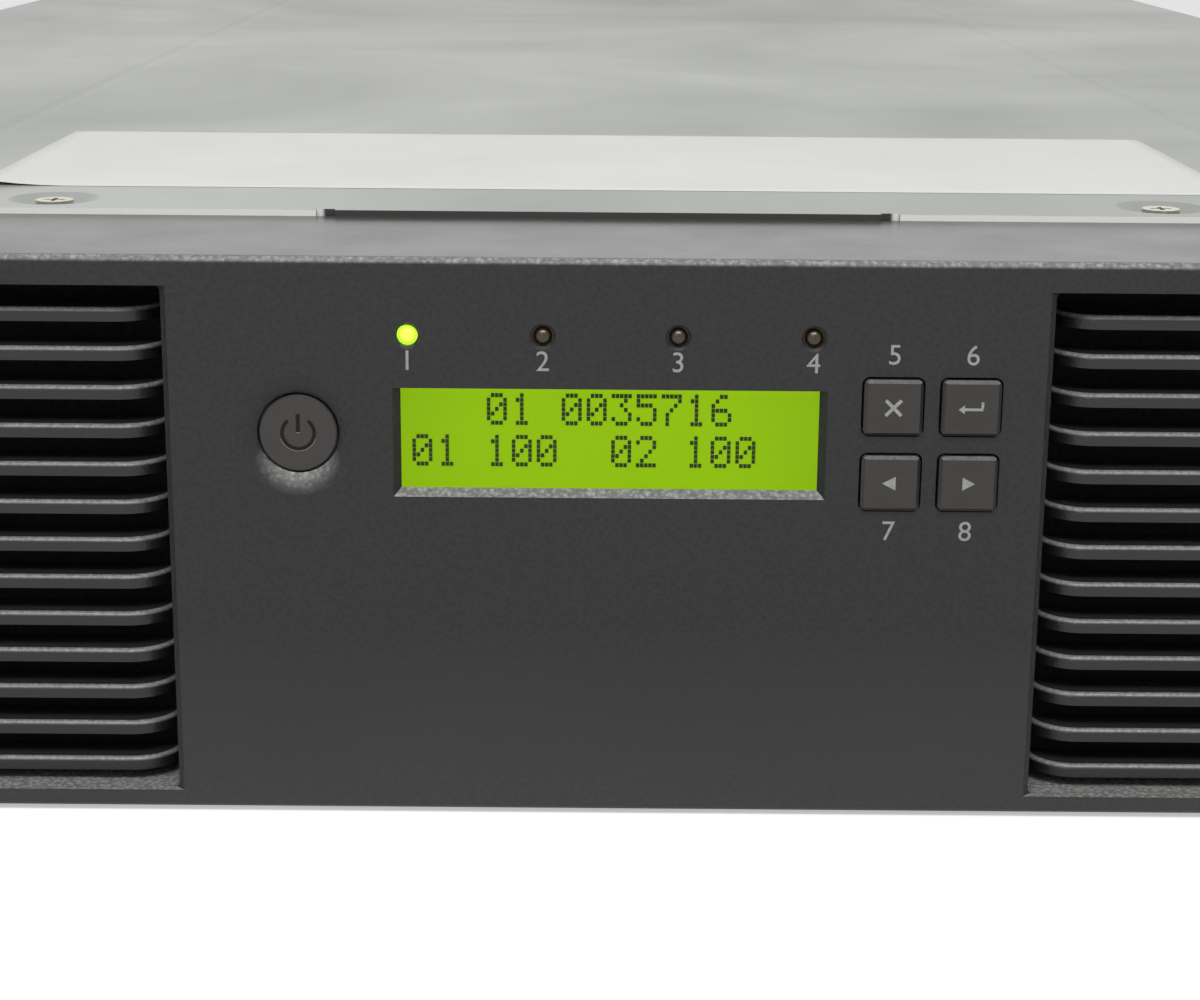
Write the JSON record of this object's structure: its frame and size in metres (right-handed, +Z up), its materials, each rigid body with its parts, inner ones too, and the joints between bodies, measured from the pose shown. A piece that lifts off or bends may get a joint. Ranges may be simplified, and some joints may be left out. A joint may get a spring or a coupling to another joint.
{
  "type": "tape library",
  "caption": "Rack-mount tape library with louvred sliding cartridge magazines, a turntable picker, stacked tape drives in rear sleds and a lit control panel.",
  "frame": {"origin": "centre of the footprint, on the underside", "axes": "+X to the right seen from the front, +Y from the front bezel to the rear, +Z up"},
  "size_m": [0.4826, 0.76, 0.0875],
  "materials": {
    "chassis_steel": "satin zinc-plated sheet",
    "cover_steel": "smooth light grey paint",
    "screw_steel": "bright plated",
    "bezel_plastic": "finely textured dark grey",
    "window_clear": "clear, glossy",
    "display_lit": "backlit yellow-green",
    "board_green": "solder mask",
    "lamp_lit": "lit, yellow-green",
    "lamp_dark": "unlit, smoked amber",
    "button_plastic": "satin",
    "key_plastic": "satin",
    "louvre_plastic": "satin dark grey",
    "magazine_plastic": "moulded dark grey",
    "runner_plastic": "low-friction plastic",
    "picker_plastic": "glass-filled black",
    "motor_metal": "plain turned",
    "pinion_plastic": "natural acetal",
    "wheel_rubber": "matte",
    "drive_steel": "satin zinc-plated sheet",
    "door_plastic": "black",
    "fan_plastic": "black",
    "inlet_plastic": "black",
    "port_metal": "plated"
  },
  "bodies": {
    "frame": {"base_tray": "chassis_steel", "top_cover": "cover_steel", "cover_screws": "screw_steel", "front_crossbar": "chassis_steel", "rear_panel": "chassis_steel", "left_rack_ear": "chassis_steel", "right_rack_ear": "chassis_steel", "ear_screws": "screw_steel", "front_bezel": "bezel_plastic", "display_window": "window_clear", "display_module": "display_lit", "panel_board": "board_green", "board_screws": "screw_steel", "ready_lamp": "lamp_lit", "clean_lamp": "lamp_dark", "attention_lamp": "lamp_dark", "error_lamp": "lamp_dark", "magazine_runners": "runner_plastic", "latch_brackets": "chassis_steel", "carriage_rail": "screw_steel", "gear_rack": "runner_plastic", "drive_cage": "chassis_steel", "power_supply": "chassis_steel", "power_inlet": "inlet_plastic", "controller_board": "board_green", "controller_ports": "port_metal"},
    "power_button": {"power_button": "button_plastic"},
    "cancel_key": {"cancel_key": "key_plastic"},
    "enter_key": {"enter_key": "key_plastic"},
    "previous_key": {"previous_key": "key_plastic"},
    "next_key": {"next_key": "key_plastic"},
    "left_magazine": {"left_magazine_front": "louvre_plastic", "left_magazine_body": "magazine_plastic", "left_magazine_shelves": "magazine_plastic", "left_magazine_dividers": "magazine_plastic"},
    "right_magazine": {"right_magazine_front": "louvre_plastic", "right_magazine_body": "magazine_plastic", "right_magazine_shelves": "magazine_plastic", "right_magazine_dividers": "magazine_plastic"},
    "left_latch": {"left_latch": "screw_steel"},
    "right_latch": {"right_latch": "screw_steel"},
    "carriage": {"carriage": "picker_plastic", "carriage_motor": "motor_metal", "rotation_motor": "motor_metal"},
    "rack_pinion": {"rack_pinion": "pinion_plastic"},
    "friction_wheel": {"friction_wheel": "wheel_rubber"},
    "turntable": {"turntable": "picker_plastic", "barcode_reader": "picker_plastic"},
    "lift_screw": {"lift_screw": "screw_steel"},
    "cartridge_tray": {"cartridge_tray": "picker_plastic"},
    "gripper_finger": {"gripper_finger": "screw_steel"},
    "lower_drive": {"lower_drive": "drive_steel", "lower_thumb_screws": "screw_steel"},
    "lower_drive_door": {"lower_drive_door": "door_plastic"},
    "lower_drive_fan": {"lower_drive_fan": "fan_plastic"},
    "upper_drive": {"upper_drive": "drive_steel", "upper_thumb_screws": "screw_steel"},
    "upper_drive_door": {"upper_drive_door": "door_plastic"},
    "upper_drive_fan": {"upper_drive_fan": "fan_plastic"},
    "power_supply_fan": {"power_supply_fan": "fan_plastic"}
  },
  "joints": [
    {"name": "power_button_press", "type": "slide", "parent": "frame", "child": "power_button", "axis": [0, 1, 0], "range_m": [0, 0.0012], "stiffness_N_per_m": 400, "springref_m": -0.001},
    {"name": "cancel_key_press", "type": "slide", "parent": "frame", "child": "cancel_key", "axis": [0, 1, 0], "range_m": [0, 0.0012], "stiffness_N_per_m": 250, "springref_m": -0.001},
    {"name": "enter_key_press", "type": "slide", "parent": "frame", "child": "enter_key", "axis": [0, 1, 0], "range_m": [0, 0.0012], "stiffness_N_per_m": 250, "springref_m": -0.001},
    {"name": "previous_key_press", "type": "slide", "parent": "frame", "child": "previous_key", "axis": [0, 1, 0], "range_m": [0, 0.0012], "stiffness_N_per_m": 250, "springref_m": -0.001},
    {"name": "next_key_press", "type": "slide", "parent": "frame", "child": "next_key", "axis": [0, 1, 0], "range_m": [0, 0.0012], "stiffness_N_per_m": 250, "springref_m": -0.001},
    {"name": "left_magazine_slide", "type": "slide", "parent": "frame", "child": "left_magazine", "axis": [0, -1, 0], "range_m": [0, 0.444]},
    {"name": "right_magazine_slide", "type": "slide", "parent": "frame", "child": "right_magazine", "axis": [0, -1, 0], "range_m": [0, 0.444]},
    {"name": "left_latch_swing", "type": "hinge", "parent": "frame", "child": "left_latch", "pos_m": [-0.15, 0.14, 0.04], "axis": [0, 0, -1], "range_deg": [-15, 0]},
    {"name": "right_latch_swing", "type": "hinge", "parent": "frame", "child": "right_latch", "pos_m": [0.15, 0.14, 0.04], "axis": [0, 0, 1], "range_deg": [-15, 0]},
    {"name": "carriage_slide", "type": "slide", "parent": "frame", "child": "carriage", "axis": [0, 1, 0], "range_m": [-0.333, 0]},
    {"name": "rack_pinion_spin", "type": "hinge", "parent": "carriage", "child": "rack_pinion", "pos_m": [-0.0815, 0.1105, 0.004], "axis": [0, 0, 1], "range_deg": [-2125, 5]},
    {"name": "turntable_turn", "type": "hinge", "parent": "carriage", "child": "turntable", "pos_m": [0, 0.0565, 0.004], "axis": [0, 0, 1], "range_deg": [-90, 90]},
    {"name": "friction_wheel_spin", "type": "hinge", "parent": "carriage", "child": "friction_wheel", "pos_m": [0.078, 0.0025, 0.008], "axis": [0, 0, 1], "range_deg": [-947, 947]},
    {"name": "tray_lift", "type": "slide", "parent": "turntable", "child": "cartridge_tray", "axis": [0, 0, 1], "range_m": [0, 0.049]},
    {"name": "lift_screw_spin", "type": "hinge", "parent": "turntable", "child": "lift_screw", "pos_m": [0.063, 0.0565, 0.015], "axis": [0, 0, 1], "range_deg": [-5, 1770]},
    {"name": "finger_slide", "type": "slide", "parent": "cartridge_tray", "child": "gripper_finger", "axis": [0, 1, 0], "range_m": [0, 0.083]},
    {"name": "lower_drive_slide", "type": "slide", "parent": "frame", "child": "lower_drive", "axis": [0, 1, 0], "range_m": [0, 0.2]},
    {"name": "lower_door_swing", "type": "hinge", "parent": "lower_drive", "child": "lower_drive_door", "pos_m": [0, 0.1525, 0.03492], "axis": [1, 0, 0], "range_deg": [0, 80]},
    {"name": "lower_fan_spin", "type": "hinge", "parent": "lower_drive", "child": "lower_drive_fan", "pos_m": [-0.045, 0.3585, 0.02218], "axis": [0, 1, 0], "continuous": true},
    {"name": "upper_drive_slide", "type": "slide", "parent": "frame", "child": "upper_drive", "axis": [0, 1, 0], "range_m": [0, 0.2]},
    {"name": "upper_door_swing", "type": "hinge", "parent": "upper_drive", "child": "upper_drive_door", "pos_m": [0, 0.1525, 0.07808], "axis": [1, 0, 0], "range_deg": [0, 80]},
    {"name": "upper_fan_spin", "type": "hinge", "parent": "upper_drive", "child": "upper_drive_fan", "pos_m": [-0.045, 0.3585, 0.06532], "axis": [0, 1, 0], "continuous": true},
    {"name": "power_fan_spin", "type": "hinge", "parent": "frame", "child": "power_supply_fan", "pos_m": [0.14, 0.3575, 0.036], "axis": [0, 1, 0], "continuous": true}
  ],
  "couplings": [
    {"joint": "rack_pinion_spin", "follows": "carriage_slide", "rad_per_m": 111.11},
    {"joint": "friction_wheel_spin", "follows": "turntable_turn", "ratio": -10.462},
    {"joint": "lift_screw_spin", "follows": "tray_lift", "rad_per_m": 628.32}
  ]
}
